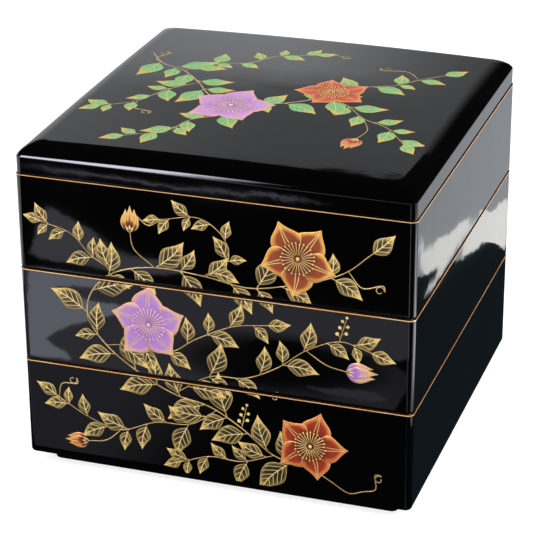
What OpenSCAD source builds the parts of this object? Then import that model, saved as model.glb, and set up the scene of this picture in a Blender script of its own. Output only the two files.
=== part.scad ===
// Three-tier stacking lunch box of lacquered wood, with a lift-off lid.
// The origin is the centre of the footprint, on the surface that the box stands on.
// +Z is up, the front faces -Y and the right side faces +X. All sizes are in millimetres.
//
// Each tier is four wall boards with fingered corners, a floor panel housed in a groove,
// four base strips that nest in the mouth below, and a mitred edging on its own mouth.
// The lid is a thick panel with rolled edges on four mitred rails, with locating strips.

/* [Tiers] */
// Outer width and depth of the square box
box_w = 195; // [150:1:245]
// Height of the middle and top tiers' walls, mouth edging included
tier_h = 48.4; // [36:0.1:70]
// Height of the bottom tier's walls, mouth edging included
bottom_tier_h = 51.2; // [36:0.1:75]
// Thickness of the wall boards
wall_t = 8; // [6:0.5:12]
// Radius of the upright outer corners
corner_r = 3.2; // [2:0.1:5.5]
// Radius of the rounded lower edge of each tier's walls
lower_edge_r = 1.8; // [1:0.1:3.5]
// Number of interlocking fingers in each upright corner
fingers = 5; // [3:2:9]
// Thickness of the mitred edging on each tier's mouth
edging_t = 0.6; // [0.4:0.1:1.5]
// Open line left between the edging strips at each mitre
mitre_gap = 0.1; // [0.05:0.05:0.3]

/* [Floor] */
// Thickness of the floor panel
floor_t = 4; // [3:0.5:6]
// Height of the floor panel's underside above the walls' lower edge
floor_z = 4; // [3.5:0.5:8]
// Depth of the floor groove in the wall boards
groove_d = 4; // [2:0.5:4.5]
// Gap left round the floor panel in its groove, for the wood to move
panel_play = 0.3; // [0.1:0.1:1]

/* [Base] */
// Height by which the base stands out under the walls
base_drop = 6.8; // [4:0.1:12]
// Gap between a base and the mouth that it nests in
nest_gap = 1; // [0.4:0.1:2]
// Width of the base strips
base_strip_w = 14; // [8:0.5:25]
// Radius of the base's upright outer corners
base_corner_r = 3.5; // [1:0.25:6]
// Radius of the base's lower outer edge
base_edge_r = 1; // [0.5:0.25:3]

/* [Lid] */
// Height of the middle of the lid above the mouth that it closes
lid_h = 17; // [14:0.1:22]
// Fall of the gently crowned top from its middle to the middle of each side
lid_crown = 1.6; // [0:0.1:2.5]
// Height of the lid's upright sides, from the mouth to where they would meet the rolled edge
lid_side_h = 8.7; // [8:0.1:12]
// Width of the rolled edge, from the sides to the crowned top
lid_roll_w = 10.5; // [8:0.5:20]
// Radius of the crest that blends the sides into the rolled edge
lid_crest_r = 2; // [0.5:0.1:2.5]
// Radius of the corners of the crowned top, where two rolled edges blend
lid_hip_r = 6; // [4:0.5:30]
// Radius of the rounded lower edge of the lid's sides
lid_lower_edge_r = 0.8; // [0.3:0.1:2]
// Distance that the lid's sides stand back from the tiers' outer faces
lid_inset = 0.4; // [0.2:0.1:1.5]
// Height of the lid rails, under the lid panel
lid_rail_h = 6.5; // [4:0.1:7.5]
// Height by which the locating strips reach down into the mouth
lid_drop = 5; // [3:0.1:10]
// Thickness of the locating strips
lid_strip_t = 6; // [4:0.5:12]

/* [Hidden] */
$fn = 96;

// Each tier: the height of its walls' lower edge, and the height of its walls
BOTTOM = [base_drop, bottom_tier_h];
MIDDLE = [base_drop + bottom_tier_h, tier_h];
TOP = [base_drop + bottom_tier_h + tier_h, tier_h];
function tier_z(tier) = tier[0];
function wall_h(tier) = tier[1];

// Turns about +Z that bring a piece made on the front to each side
FRONT = 0;
RIGHT = 90;
BACK = 180;
LEFT = 270;
SIDES = [FRONT, RIGHT, BACK, LEFT];

LACQUER = "#17171b";
FLOOR_LACQUER = "#2a2224";
BASE_LACQUER = "#222226";
GOLD = "#cc9a5c";

// Inner width of a tier, between the faces of opposite boards
inner_w = box_w - 2 * wall_t;
// Outer width of a base, and of the frame of locating strips under the lid
nest_w = inner_w - 2 * nest_gap;
// Outer width of the lid
lid_w = box_w - 2 * lid_inset;
// Height of the mouth that the lid closes
lid_z = tier_z(TOP) + wall_h(TOP);
// Radius of the lid's upright corners
lid_corner_r = corner_r - lid_inset / 2;
// Radius of the rolled edge, level where it meets the top, and its centre's height
lid_roll_drop = lid_h - lid_side_h;
lid_roll_r = (lid_roll_w * lid_roll_w + lid_roll_drop * lid_roll_drop) / (2 * lid_roll_drop);
lid_roll_z = lid_h - lid_roll_r;
// Centre of the crest's arc above that of the rolled edge, which it touches from inside,
// and the angle at which the one arc passes into the other
lid_crest_rise = sqrt((lid_roll_r - lid_crest_r) ^ 2 - (lid_roll_w - lid_crest_r) ^ 2);
lid_crest_a = atan2(lid_crest_rise, lid_roll_w - lid_crest_r);
// Turn of the surface from one loop of points round the lid panel to the next
lid_step_a = 7.5;
// Steps of those loops round each corner and along each side, and inwards over the top
corner_steps = 8;
side_steps = 6;
crown_steps = 5;
// Length that a cutting tool runs on past what it cuts
over = 1;

// Square with rounded corners, centred on the origin
module rounded_square(w, r) {
  square([w - 2 * r, w], center = true);
  square([w, w - 2 * r], center = true);
  for (x = [-1, 1], y = [-1, 1])
    translate([x * (w / 2 - r), y * (w / 2 - r)])
      circle(r);
}

// Tool that rounds the lower front edge of a square block of width w, lower face at z = 0
module edge_rounder(w, r) {
  translate([0, -w / 2, 0])
    rotate([90, 0, 90])
      linear_extrude(w + 2 * over, center = true)
        difference() {
          translate([-over, -over])
            square(r + over);
          translate([r, r])
            circle(r);
        }
}

// Square block with rounded upright corners and a rounded lower edge all round
module rounded_block(w, h, upright_r, edge_r) {
  difference() {
    linear_extrude(h)
      rounded_square(w, upright_r);
    for (side = SIDES)
      rotate(side)
        edge_rounder(w, edge_r);
  }
}

// Bar along the front of a square frame of width w, l long and t thick
module front_bar(w, l, t, h) {
  translate([-l / 2, -w / 2, 0])
    cube([l, t, h]);
}

// Quarter of the plan that belongs to the front piece of a mitred frame of width w
module mitre_quarter(w, h, gap) {
  reach = w / 2 + over;
  translate([0, -gap / sqrt(2), 0])
    linear_extrude(h)
      polygon([[0, 0], [-reach, -reach], [reach, -reach]]);
}

// Wall board of a tier, made on the front and turned to its side.
// The board keeps every second finger of its two corners, from the one numbered first.
module wall_board(tier, side, first) {
  board_h = wall_h(tier) - edging_t;
  finger_h = board_h / fingers;
  translate([0, 0, tier_z(tier)])
    difference() {
      intersection() {
        rounded_block(box_w, board_h, corner_r, lower_edge_r);
        rotate(side)
          union() {
            front_bar(box_w, inner_w, wall_t, board_h);
            for (i = [first : 2 : fingers - 1])
              translate([0, 0, i * finger_h])
                front_bar(box_w, box_w, wall_t, finger_h);
          }
      }
      translate([0, 0, floor_z + floor_t / 2])
        cube([inner_w + 2 * groove_d, inner_w + 2 * groove_d, floor_t], center = true);
    }
}

// The front and back boards keep the lowest and highest fingers, the side boards those between
module front_board(tier) {
  color(LACQUER)
    wall_board(tier, FRONT, 0);
}

module back_board(tier) {
  color(LACQUER)
    wall_board(tier, BACK, 0);
}

module left_board(tier) {
  color(LACQUER)
    wall_board(tier, LEFT, 1);
}

module right_board(tier) {
  color(LACQUER)
    wall_board(tier, RIGHT, 1);
}

// Floor panel, which lies in the groove round the four boards
module floor_panel(tier) {
  panel_w = inner_w + 2 * (groove_d - panel_play);
  color(FLOOR_LACQUER)
    translate([0, 0, tier_z(tier) + floor_z + floor_t / 2])
      cube([panel_w, panel_w, floor_t], center = true);
}

// Strip of the base frame, glued under the floor panel.
// The front and back strips run through, and the side strips fit between them.
module base_strip(tier, side) {
  strip_h = base_drop + floor_z;
  strip_l = (side == FRONT || side == BACK) ? nest_w : nest_w - 2 * base_strip_w;
  color(BASE_LACQUER)
    translate([0, 0, tier_z(tier) - base_drop])
      intersection() {
        rounded_block(nest_w, strip_h, base_corner_r, base_edge_r);
        rotate(side)
          front_bar(nest_w, strip_l, base_strip_w, strip_h);
      }
}

// Edging of a tier's mouth: four thin mitred strips on top of the boards
module mouth_edging(tier) {
  color(GOLD)
    translate([0, 0, tier_z(tier) + wall_h(tier) - edging_t])
      for (side = SIDES)
        intersection() {
          linear_extrude(edging_t)
            rounded_square(box_w, corner_r);
          rotate(side)
            intersection() {
              front_bar(box_w, box_w, wall_t, edging_t);
              mitre_quarter(box_w, edging_t, mitre_gap);
            }
        }
}

// Depth in from the lid's sides, and height, of its surface where that faces a degrees upwards
function lid_edge(a) = a < lid_crest_a
  ? [lid_crest_r * (1 - cos(a)), lid_roll_z + lid_crest_rise + lid_crest_r * sin(a)]
  : [lid_roll_w - lid_roll_r * cos(a), lid_roll_z + lid_roll_r * sin(a)];

// Point p of the plan, turned a degrees about the middle
function turned(p, a) = [p.x * cos(a) - p.y * sin(a), p.x * sin(a) + p.y * cos(a)];

// Square loop in the plan, depth in from the lid's sides, once round from the front right.
// The corners grow rounder from the sides to the top, which blends the rolled edges.
function lid_loop(depth) =
  let (
    r = lid_corner_r + (lid_hip_r - lid_corner_r) * depth / lid_roll_w,
    x = lid_w / 2 - depth - r
  )
  [for (side = SIDES) each [
    for (i = [0 : corner_steps])
      let (a = 90 * i / corner_steps)
        turned([x + r * sin(a), -x - r * cos(a)], side),
    for (i = [1 : side_steps - 1])
      turned([x + r, x * (2 * i / side_steps - 1)], side),
  ]];

// Height of the panel's surface over point p, where it would be at height z without a crown
function crowned(p, z) =
  let (side_z = lid_edge(0)[1], fall = lid_crown * (p * p) / (lid_w / 2) ^ 2)
    z > side_z ? side_z + (z - side_z) * (lid_h - fall - side_z) / (lid_h - side_z) : z;

// Lid panel: upright sides, rolled edges that blend at the corners, and a crowned top.
// Its surface is woven from loops of points, from the underside up to the middle.
module lid_panel() {
  edge = [for (a = [0 : lid_step_a : 90]) lid_edge(a)];
  n = 4 * (corner_steps + side_steps);
  rise = len(edge);
  points = [
    for (p = lid_loop(0)) [p.x, p.y, lid_rail_h],
    for (e = edge, p = lid_loop(e[0])) [p.x, p.y, crowned(p, e[1])],
    for (i = [1 : crown_steps - 1], q = lid_loop(lid_roll_w))
      let (p = q * (1 - i / crown_steps))
        [p.x, p.y, crowned(p, lid_h)],
    [0, 0, lid_h],
  ];
  last = rise + crown_steps - 1;
  faces = [
    [for (j = [0 : n - 1]) j],
    for (i = [0 : last - 1], j = [0 : n - 1])
      let (a = i * n + j, b = i * n + (j + 1) % n)
        each [[a, a + n, b + n], [a, b + n, b]],
    for (j = [0 : n - 1]) [last * n + j, len(points) - 1, last * n + (j + 1) % n],
  ];
  color(LACQUER)
    translate([0, 0, lid_z])
      hull()
        polyhedron(points, faces);
}

// Rail under one side of the lid panel, mitred at its ends
module lid_rail(side) {
  rail_t = (lid_w - nest_w) / 2;
  color(LACQUER)
    translate([0, 0, lid_z])
      intersection() {
        rounded_block(lid_w, lid_rail_h, lid_corner_r, lid_lower_edge_r);
        rotate(side)
          intersection() {
            front_bar(lid_w, lid_w, rail_t, lid_rail_h);
            mitre_quarter(lid_w, lid_rail_h, 0);
          }
      }
}

// Locating strip inside a lid rail, which reaches down into the mouth of the top tier.
// The front and back strips run through, and the side strips fit between them.
module locating_strip(side) {
  strip_h = lid_drop + lid_rail_h;
  strip_l = (side == FRONT || side == BACK) ? nest_w : nest_w - 2 * lid_strip_t;
  color(BASE_LACQUER)
    translate([0, 0, lid_z - lid_drop])
      rotate(side)
        front_bar(nest_w, strip_l, lid_strip_t, strip_h);
}

front_board(BOTTOM);  // bottom_front_board
back_board(BOTTOM);  // bottom_back_board
left_board(BOTTOM);  // bottom_left_board
right_board(BOTTOM);  // bottom_right_board
floor_panel(BOTTOM);  // bottom_floor_panel
mouth_edging(BOTTOM);  // bottom_mouth_edging
base_strip(BOTTOM, FRONT);  // bottom_base_front_strip
base_strip(BOTTOM, BACK);  // bottom_base_back_strip
base_strip(BOTTOM, LEFT);  // bottom_base_left_strip
base_strip(BOTTOM, RIGHT);  // bottom_base_right_strip

front_board(MIDDLE);  // middle_front_board
back_board(MIDDLE);  // middle_back_board
left_board(MIDDLE);  // middle_left_board
right_board(MIDDLE);  // middle_right_board
floor_panel(MIDDLE);  // middle_floor_panel
mouth_edging(MIDDLE);  // middle_mouth_edging
base_strip(MIDDLE, FRONT);  // middle_base_front_strip
base_strip(MIDDLE, BACK);  // middle_base_back_strip
base_strip(MIDDLE, LEFT);  // middle_base_left_strip
base_strip(MIDDLE, RIGHT);  // middle_base_right_strip

front_board(TOP);  // top_front_board
back_board(TOP);  // top_back_board
left_board(TOP);  // top_left_board
right_board(TOP);  // top_right_board
floor_panel(TOP);  // top_floor_panel
mouth_edging(TOP);  // top_mouth_edging
base_strip(TOP, FRONT);  // top_base_front_strip
base_strip(TOP, BACK);  // top_base_back_strip
base_strip(TOP, LEFT);  // top_base_left_strip
base_strip(TOP, RIGHT);  // top_base_right_strip

lid_panel();
lid_rail(FRONT);  // lid_front_rail
lid_rail(BACK);  // lid_back_rail
lid_rail(LEFT);  // lid_left_rail
lid_rail(RIGHT);  // lid_right_rail
locating_strip(FRONT);  // lid_front_locating_strip
locating_strip(BACK);  // lid_back_locating_strip
locating_strip(LEFT);  // lid_left_locating_strip
locating_strip(RIGHT);  // lid_right_locating_strip
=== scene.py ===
"""Three-tier stacking lunch box: lacquer, gilding and painted sprays on its construction model.

The construction model gives every size in one frame: metres, +Z up, the front facing -Y.
Each tier gets one seamless coat of lacquer in place of its four boards and another in place
of its base strips. The lid gets one in place of its panel and rails and another in place of
its locating strips. The painted sprays lie on the lacquer as thin raised shapes.
"""

import logging
import math
from bisect import bisect_right
from dataclasses import dataclass, field, replace
from enum import Enum
from typing import Any, Iterable, Sequence

import bmesh
import bpy
from mathutils import Matrix, Vector

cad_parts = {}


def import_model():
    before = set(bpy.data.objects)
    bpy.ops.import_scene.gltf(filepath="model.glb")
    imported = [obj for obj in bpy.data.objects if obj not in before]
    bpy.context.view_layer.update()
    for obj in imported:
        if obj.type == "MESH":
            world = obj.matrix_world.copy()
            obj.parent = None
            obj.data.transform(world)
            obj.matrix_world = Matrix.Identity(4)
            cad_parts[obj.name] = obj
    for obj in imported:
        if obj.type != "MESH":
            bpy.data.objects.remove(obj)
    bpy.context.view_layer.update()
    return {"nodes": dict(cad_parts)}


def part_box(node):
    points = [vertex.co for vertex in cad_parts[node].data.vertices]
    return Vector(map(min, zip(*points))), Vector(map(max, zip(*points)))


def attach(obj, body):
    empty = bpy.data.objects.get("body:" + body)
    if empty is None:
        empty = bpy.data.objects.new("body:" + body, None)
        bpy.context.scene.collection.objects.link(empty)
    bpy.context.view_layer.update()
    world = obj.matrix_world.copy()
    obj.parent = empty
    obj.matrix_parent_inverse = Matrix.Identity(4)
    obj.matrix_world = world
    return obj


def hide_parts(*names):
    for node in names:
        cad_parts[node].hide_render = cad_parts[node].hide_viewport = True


log = logging.getLogger("lunch_box")

MM = 0.001
QUARTER = math.pi / 2
Colour = tuple[float, float, float, float]
Point = tuple[float, float]
Place = tuple[float, float, float]


def tint(code: str) -> Colour:
    """Turns a colour as a screen shows it into the linear one that shaders take.

    Args:
        code: Six hexadecimal digits, two each for red, green and blue.

    Returns:
        The colour's linear red, green and blue, and an alpha of 1.
    """
    levels = [int(code[i : i + 2], 16) / 255 for i in (0, 2, 4)]
    red, green, blue = [
        v / 12.92 if v <= 0.04045 else ((v + 0.055) / 1.055) ** 2.4 for v in levels
    ]
    return (red, green, blue, 1.0)


def tints(codes: str) -> list[Colour]:
    """Linear colours of several screen colours that stand apart by spaces."""
    return [tint(code) for code in codes.split()]


# ---------------------------------------------------------------- shader maths


class Wire:
    """An output socket on which Python arithmetic adds Math nodes."""

    def __init__(self, recipe: "Recipe", socket: bpy.types.NodeSocket) -> None:
        """Wraps a socket of a recipe's node."""
        self.recipe = recipe
        self.socket = socket

    def math(self, operation: str, *values: Any) -> "Wire":
        """Result of a Math node on numbers or wires."""
        return self.recipe.node(
            "ShaderNodeMath", {"operation": operation}, dict(enumerate(values))
        )

    def __add__(self, other: Any) -> "Wire":
        """self + other."""
        return self.math("ADD", self, other)

    def __radd__(self, other: Any) -> "Wire":
        """other + self."""
        return self.math("ADD", other, self)

    def __sub__(self, other: Any) -> "Wire":
        """self - other."""
        return self.math("SUBTRACT", self, other)

    def __rsub__(self, other: Any) -> "Wire":
        """other - self."""
        return self.math("SUBTRACT", other, self)

    def __mul__(self, other: Any) -> "Wire":
        """self * other."""
        return self.math("MULTIPLY", self, other)

    def __rmul__(self, other: Any) -> "Wire":
        """other * self."""
        return self.math("MULTIPLY", other, self)

    def __truediv__(self, other: Any) -> "Wire":
        """self / other."""
        return self.math("DIVIDE", self, other)

    def __abs__(self) -> "Wire":
        """Size of self without its sign."""
        return self.math("ABSOLUTE", self)

    def fraction(self) -> "Wire":
        """Part of self after the point, which repeats from 0 to 1."""
        return self.math("FRACT", self)

    def rise(self, low: float, high: float) -> "Wire":
        """Smooth step of self.

        Args:
            low: Value at which the step leaves 0.
            high: Value at which it reaches 1.

        Returns:
            The step, from 0 to 1.
        """
        return self.recipe.node(
            "ShaderNodeMapRange",
            {"interpolation_type": "SMOOTHSTEP"},
            {"Value": self, "From Min": low, "From Max": high},
        )

    def fall(self, low: float, high: float) -> "Wire":
        """Smooth step of self from 1 at low down to 0 at high."""
        return 1 - self.rise(low, high)


class Recipe:
    """A material or world while its nodes are put together."""

    MIX_A, MIX_B, MIX_RESULT = 6, 7, 2

    def __init__(self, owner: Any) -> None:
        """Clears the node tree of a material or world.

        Args:
            owner: The material or world.
        """
        owner.use_nodes = True
        self.owner = owner
        self.tree = owner.node_tree
        self.tree.nodes.clear()

    def node(
        self,
        kind: str,
        settings: dict[str, Any] | None = None,
        sockets: dict[Any, Any] | None = None,
        output: Any = 0,
    ) -> Wire | None:
        """Adds a node.

        Args:
            kind: The node's type.
            settings: Its properties, set first.
            sockets: Values or wires of its inputs, by name or number.
            output: Name or number of the output to return.

        Returns:
            That output, or None from a node that has none.
        """
        node = self.tree.nodes.new(kind)
        for name, value in (settings or {}).items():
            setattr(node, name, value)
        for name, value in (sockets or {}).items():
            if isinstance(value, Wire):
                self.tree.links.new(value.socket, node.inputs[name])
            else:
                node.inputs[name].default_value = value
        return Wire(self, node.outputs[output]) if node.outputs else None

    def mix(self, factor: Any, first: Any, second: Any) -> Wire:
        """Mixes two colours.

        Args:
            factor: 0 for the first colour, 1 for the second.
            first: Colour or wire.
            second: Colour or wire.

        Returns:
            The mixed colour.
        """
        sockets = {0: factor, self.MIX_A: first, self.MIX_B: second}
        return self.node("ShaderNodeMix", {"data_type": "RGBA"}, sockets, self.MIX_RESULT)

    def place(self) -> Wire:
        """Object coordinates, in metres."""
        return self.node("ShaderNodeTexCoord", output="Object")

    def noise(self, vector: Wire, scale: float, detail: float = 2.0) -> Wire:
        """Adds a Noise texture.

        Args:
            vector: Coordinates.
            scale: Waves per unit of the coordinates.
            detail: Number of finer layers.

        Returns:
            The noise, about 0.5.
        """
        sockets = {"Vector": vector, "Scale": scale, "Detail": detail}
        return self.node("ShaderNodeTexNoise", {}, sockets)

    def split(self, vector: Wire) -> tuple[Wire, Wire, Wire]:
        """Takes a vector apart.

        Args:
            vector: The vector.

        Returns:
            Its X, Y and Z.
        """
        first = self.node("ShaderNodeSeparateXYZ", {}, {0: vector})
        x, y, z = (Wire(self, socket) for socket in first.socket.node.outputs)
        return (x, y, z)

    def attribute(self, name: str) -> tuple[Wire, Wire, Wire]:
        """X, Y and Z of a vector attribute of the mesh."""
        return self.split(
            self.node("ShaderNodeAttribute", {"attribute_name": name}, output="Vector")
        )

    def relief(self, depth: float, height: Wire, under: Wire | None = None) -> Wire:
        """Adds a Bump node.

        Args:
            depth: Depth of the relief, in metres.
            height: Its height, from 0 to 1.
            under: Normal of the relief that it lies on, if there is one.

        Returns:
            The normal.
        """
        sockets = {"Distance": depth, "Height": height}
        if under is not None:
            sockets["Normal"] = under
        return self.node("ShaderNodeBump", {}, sockets)

    def surface(self, shader: Wire) -> Any:
        """Links the final shader.

        Args:
            shader: Shader for the surface.

        Returns:
            The material or world.
        """
        kind = "World" if isinstance(self.owner, bpy.types.World) else "Material"
        self.node(f"ShaderNodeOutput{kind}", {}, {"Surface": shader})
        return self.owner

    def finish(self, sockets: dict[str, Any]) -> bpy.types.Material:
        """The material, as a Principled shader with these sockets."""
        return self.surface(self.node("ShaderNodeBsdfPrincipled", {}, sockets))


# ---------------------------------------------------------------- finishes


@dataclass(frozen=True)
class Lacquer:
    """Polished lacquer: a deep colour, fine ripples under the gloss and a trace of handling."""

    name: str
    deep: Colour
    # Colour of handled spots: real wear only, with no painted shade in the lacquer.
    worn_and_shaded: Colour
    roughness: float
    ripple: float = 7.0e-5
    ripple_scale: float = 46.0
    peel: float = 5.0e-6
    peel_scale: float = 330.0
    handled_scale: float = 21.0
    handled_range: Point = (0.45, 0.8)
    speck_scale: float = 1900.0
    gloss_range: Point = (0.7, 1.3)
    under: Colour | None = None
    under_z: float = 0.0
    under_edge: float = 1.0e-5

    def material(self) -> bpy.types.Material:
        """Makes the material.

        Returns:
            Lacquer that turns to the colour under, if there is one, below the height under_z.
        """
        recipe = Recipe(bpy.data.materials.new(self.name))
        place = recipe.place()
        handled = recipe.noise(place, self.handled_scale, 3.0)
        specks = recipe.noise(place, self.speck_scale, 1.0)
        # Handling wear only; the lacquer has no painted shade.
        wear_and_shade = handled.rise(*self.handled_range) * specks
        colour = recipe.mix(wear_and_shade, self.deep, self.worn_and_shaded)
        if self.under is not None:
            _, _, height = recipe.split(place)
            above = height.fall(self.under_z, self.under_z + self.under_edge)
            colour = recipe.mix(above, colour, self.under)
        waves = recipe.relief(self.ripple, recipe.noise(place, self.ripple_scale, 1.0))
        peel = recipe.relief(self.peel, recipe.noise(place, self.peel_scale, 1.0), waves)
        least, most = self.gloss_range
        gloss = self.roughness * (least + (most - least) * handled)
        return recipe.finish({"Base Color": colour, "Roughness": gloss, "Normal": peel})


@dataclass
class Sheen:
    """Colour, metal and roughness of a gilding while it is put together."""

    colour: Wire
    metallic: Any
    roughness: Any


@dataclass(frozen=True)
class Gilding:
    """Gold laid on lacquer: warm, satin, a little uneven along its length."""

    name: str
    bright: Colour
    dull: Colour
    roughness: float = 0.34
    metallic: float = 0.55
    grain: float = 420.0
    dust: float = 1680.0
    dust_share: float = 0.4
    patch_scale: float = 95.0
    patch_range: Point = (0.35, 0.65)
    gloss_range: Point = (0.8, 1.2)
    depth: float = 8.0e-6

    def material(self) -> bpy.types.Material:
        """Makes the material.

        Returns:
            Gold in brighter and duller patches; the mouths' gilding adds a lip of darker gold and
            painted shade on its outer edge.
        """
        recipe = Recipe(bpy.data.materials.new(self.name))
        place = recipe.place()
        patches = recipe.noise(place, self.patch_scale, 3.0).rise(*self.patch_range)
        dust = recipe.noise(place, self.dust, 2.0)
        cover = patches * (1 - self.dust_share + self.dust_share * dust)
        colour = recipe.mix(cover, self.dull, self.bright)
        least, most = self.gloss_range
        gloss = self.roughness * (least + (most - least) * dust)
        sheen = Sheen(colour, self.metallic, gloss)
        self.wear_and_shade(recipe, place, patches, sheen)
        return recipe.finish(
            {
                "Base Color": sheen.colour,
                "Metallic": sheen.metallic,
                "Roughness": sheen.roughness,
                "Normal": recipe.relief(self.depth, recipe.noise(place, self.grain, 2.0)),
            }
        )

    def wear_and_shade(self, recipe: Recipe, place: Wire, patches: Wire, sheen: Sheen) -> None:
        """Leaves plain gilding as it was laid."""


@dataclass(frozen=True)
class MouthGilding(Gilding):
    """Gilding of the mouths: a lip with painted shade, and gold that reaches a little way down the
    sides.

    Heights and reaches are in millimetres. The mouths stand one pitch apart, and start is the
    height one pitch below the lowest, with a little slack so that no mouth counts as the foot
    of the next pitch. The gold reaches further down on the right side, and less far at the top
    mouth. Below it the edging is black. The level lip is a darker gold than the sides, which is
    partly painted shade, and the outer edge of the lip, which the lid and the tier above shade,
    is painted shade in a near-black red-brown.
    """

    # Colours of the level lip, a darker gold that is partly painted shade, and of the painted shade
    # on its outer edge.
    lip: Colour = (1.0, 1.0, 1.0, 1.0)
    worn_and_shaded: Colour = (0.0, 0.0, 0.0, 1.0)
    lip_metallic: float = 0.6
    shaded_metallic: float = 0.1
    lip_gloss: float = 0.5
    level: Point = (0.5, 0.9)
    shaded_edge: Point = (0.0962, 0.0965)
    right_side: Point = (0.0968, 0.0974)
    top_mouth: Point = (150.0, 151.0)
    start: float = 0.0
    pitch: float = 1.0
    reach: float = 0.46
    right_gain: float = 0.14
    top_loss: float = 0.14
    fray: float = 0.06
    fade: float = 0.1

    def wear_and_shade(self, recipe: Recipe, place: Wire, patches: Wire, sheen: Sheen) -> None:
        """Gives the lip a darker gold and painted shade on its outer edge, and ends the gold on the
        sides.

        Args:
            recipe: Recipe of the material.
            place: Object coordinates.
            patches: The gold's unevenness.
            sheen: The gold's look, which is changed.
        """
        across, back, metres = recipe.split(place)
        _, _, upward = recipe.split(recipe.node("ShaderNodeNewGeometry", output="Normal"))
        # Painted shade, in part: faces that look up, which form the lip, take a darker gold than
        # the sides.
        level = upward.rise(*self.level)
        # Painted shade: the lip's outer edge, which the lid and the tier above shade, turns
        # near-black red-brown.
        outer = abs(across).rise(*self.shaded_edge) + abs(back).rise(*self.shaded_edge)
        outer = outer.rise(0.0, 1.0)
        colour = recipe.mix(level, sheen.colour, recipe.mix(outer, self.lip, self.worn_and_shaded))
        metal = self.lip_metallic - outer * (self.lip_metallic - self.shaded_metallic)
        metallic = level * (metal - sheen.metallic) + sheen.metallic
        gloss = sheen.roughness * (1 - level * (1 - self.lip_gloss))
        height = metres / MM
        depth = (1 - ((height - self.start) / self.pitch).fraction()) * self.pitch
        depth = depth - across.rise(*self.right_side) * self.right_gain
        depth = depth + height.rise(*self.top_mouth) * self.top_loss
        gilt = (depth + patches * self.fray).fall(self.reach, self.reach + self.fade)
        sheen.colour = recipe.mix(gilt, BLACK.deep, colour)
        sheen.metallic = metallic * gilt
        sheen.roughness = (gloss - BLACK.roughness) * gilt + BLACK.roughness


@dataclass(frozen=True)
class PetalPaint:
    """Petal that glows from a deep root to a gold margin, with a pair of gold ribs.

    Widths are in millimetres, and places along the petal run from 0 at its root to 1.
    """

    name: str
    root: Colour
    body: Colour
    tip: Colour
    gold: Colour
    rib: Colour
    margin: float
    roughness: float = 0.42
    root_end: Point = (0.15, 0.62)
    glow_start: Point = (0.22, 0.5)
    tip_start: Point = (0.6, 1.0)
    tip_glow: float = 0.55
    dust_range: Point = (0.75, 1.25)
    gold_edge: Point = (0.26, 0.85)
    gold_start: Point = (0.1, 0.35)
    gold_cover: float = 0.92
    rib_edge: Point = (0.1, 0.3)
    rib_spread: float = 1.3
    rib_gap: float = 0.1
    rib_start: Point = (0.36, 0.46)
    rib_end: Point = (0.84, 0.95)
    rib_cover: float = 0.9
    dust_scale: float = 2600.0
    dust_height: float = 0.3
    depth: float = 2.0e-5
    shine: float = 0.08
    metallic: float = 0.35

    def material(self) -> bpy.types.Material:
        """Makes the material, which reads the attributes that the brushwork leaves.

        Returns:
            The material.
        """
        recipe = Recipe(bpy.data.materials.new(self.name))
        across, _, rim = recipe.attribute("brush")
        _, reach, _ = recipe.attribute("spot")
        dust = recipe.noise(recipe.place(), self.dust_scale, 1.0)
        shade = recipe.mix(reach.rise(*self.root_end), self.root, self.body)
        glow = rim.fall(0.0, self.margin) * reach.rise(*self.glow_start)
        glow = glow + reach.rise(*self.tip_start) * self.tip_glow
        least, most = self.dust_range
        glow = glow * (least + (most - least) * dust)
        shade = recipe.mix(glow.rise(0.05, 1.0), shade, self.tip)
        edge = rim.fall(*self.gold_edge) * reach.rise(*self.gold_start)
        shade = recipe.mix(edge * self.gold_cover, shade, self.gold)
        between = (1 - reach) * self.rib_spread
        pair = abs(abs(across) - between - self.rib_gap).fall(*self.rib_edge)
        ribs = pair * reach.rise(*self.rib_start) * reach.fall(*self.rib_end)
        return recipe.finish(
            {
                "Base Color": recipe.mix(ribs * self.rib_cover, shade, self.rib),
                "Roughness": self.roughness - edge * self.shine,
                "Metallic": (edge + ribs).rise(0.3, 1.0) * self.metallic,
                "Normal": recipe.relief(self.depth, edge + ribs + dust * self.dust_height),
            }
        )


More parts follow.
